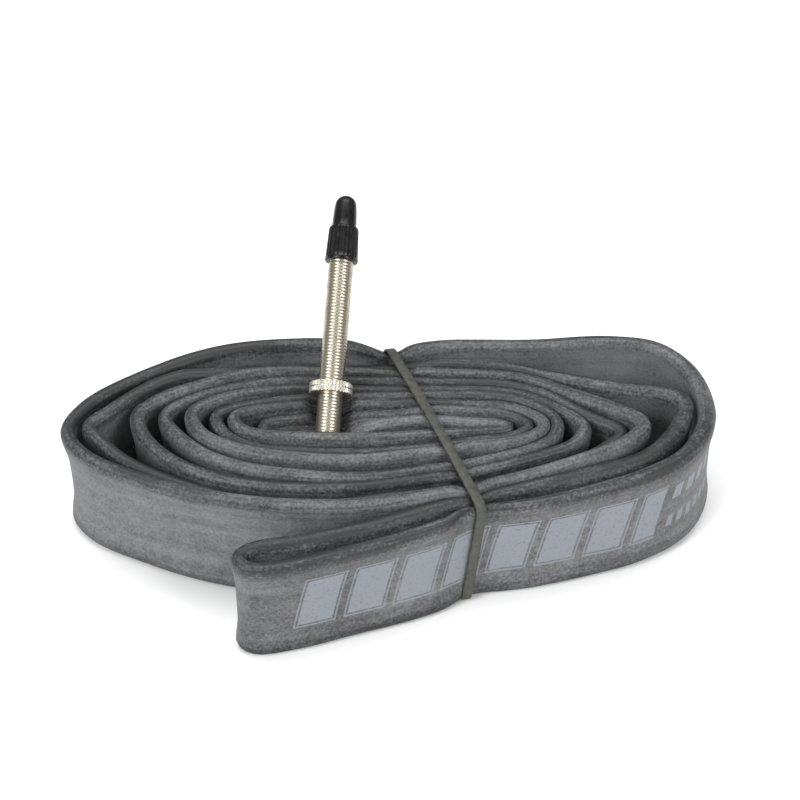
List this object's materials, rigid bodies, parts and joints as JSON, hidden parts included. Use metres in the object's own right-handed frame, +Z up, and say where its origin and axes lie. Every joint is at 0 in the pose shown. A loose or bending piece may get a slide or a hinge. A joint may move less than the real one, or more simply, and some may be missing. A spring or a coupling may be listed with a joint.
{
  "type": "bicycle inner tube",
  "caption": "Emptied bicycle inner tube, folded double and rolled into an oval coil, with a long thin metal valve, knurled rim nut, dust cap and a rubber band round it.",
  "frame": {"origin": "centre of the base of the whole piece's box, on the surface that the coil stands on", "axes": "+Z up, +X along the coil's long side, -Y towards the side that the folded end of the tube lies on; the valve leans back towards +Y"},
  "size_m": [0.1528, 0.0958, 0.0615],
  "materials": {
    "tube_rubber": "matt butyl rubber dusted with talc",
    "patch_rubber": "matt moulded rubber",
    "plated_metal": "nickel-plated brass",
    "cap_plastic": "satin black plastic",
    "seal_rubber": "smooth black rubber",
    "pin_brass": "plain turned brass",
    "band_rubber": "matt dark olive-grey rubber"
  },
  "bodies": {
    "tube": {"inner_tube": "tube_rubber", "valve_base_patch": "patch_rubber", "valve_stem": "plated_metal", "core_body": "plated_metal", "core_gasket": "seal_rubber", "rubber_band": "band_rubber"},
    "rim_nut": {"rim_nut": "plated_metal"},
    "cap": {"dust_cap": "cap_plastic"},
    "pin": {"core_pin": "pin_brass", "core_seal": "seal_rubber", "seal_retainer": "pin_brass"},
    "lock_nut": {"pin_lock_nut": "plated_metal"}
  },
  "joints": [
    {"name": "rim_nut_travel", "type": "slide", "parent": "tube", "child": "rim_nut", "axis": [0.0724, 0.7953, 0.6018], "range_m": [0, 0.029]},
    {"name": "cap_pull", "type": "slide", "parent": "tube", "child": "cap", "axis": [0.0724, 0.7953, 0.6018], "range_m": [0, 0.02]},
    {"name": "core_pin_press", "type": "slide", "parent": "tube", "child": "pin", "axis": [0.0724, 0.7953, 0.6018], "range_m": [-0.002, 0]},
    {"name": "lock_nut_unscrew", "type": "slide", "parent": "pin", "child": "lock_nut", "axis": [0.0724, 0.7953, 0.6018], "range_m": [0, 0.002]}
  ],
  "couplings": [
    {"joint": "lock_nut_unscrew", "follows": "core_pin_press", "ratio": -1}
  ]
}
